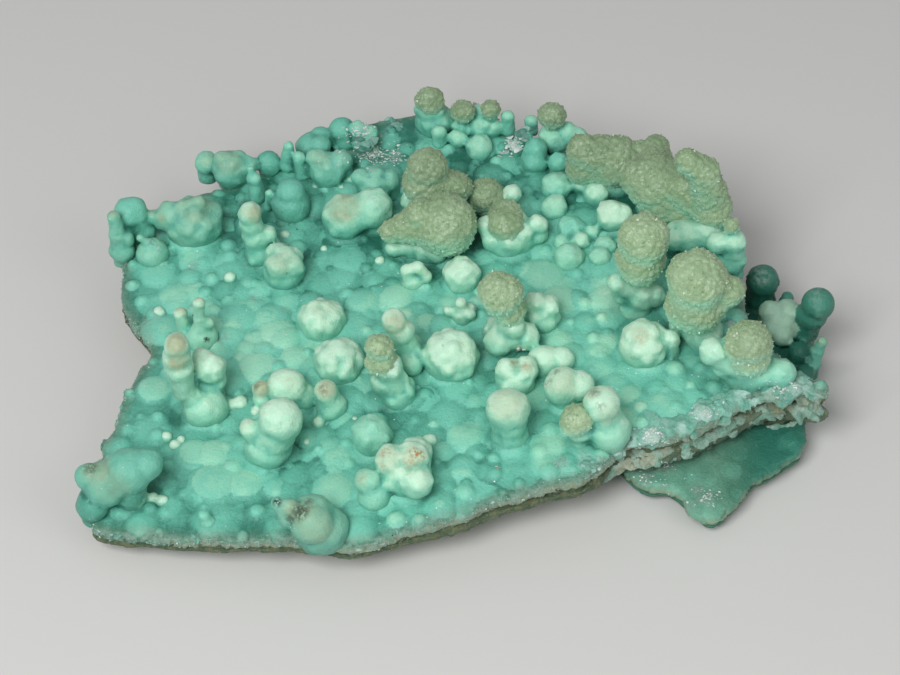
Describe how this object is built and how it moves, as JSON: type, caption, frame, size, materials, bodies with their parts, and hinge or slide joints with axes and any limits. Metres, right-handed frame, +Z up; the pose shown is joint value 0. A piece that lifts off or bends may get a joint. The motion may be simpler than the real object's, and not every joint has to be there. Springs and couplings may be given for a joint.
{
  "type": "aragonite mineral specimen",
  "caption": "Broken plate of blue-green aragonite: a crust of low waxy domes carrying lobed knobs and slim columns, many with sugary olive-beige caps.",
  "frame": {"origin": "below the middle of the specimen, on the surface that its flat base rests on", "axes": "+X to the right along the longest side, +Y to the back, +Z up through the knobs"},
  "size_m": [0.1482, 0.12, 0.0432],
  "materials": {
    "aragonite": "waxy, slightly translucent blue-green crust, paler to mint and cream on the knobs",
    "sugary_cap": "fine sugary crystals, olive-beige",
    "matrix": "broken limonite-stained rock, dull"
  },
  "bodies": {
    "root": {"aragonite_plate": "aragonite"}
  },
  "joints": []
}
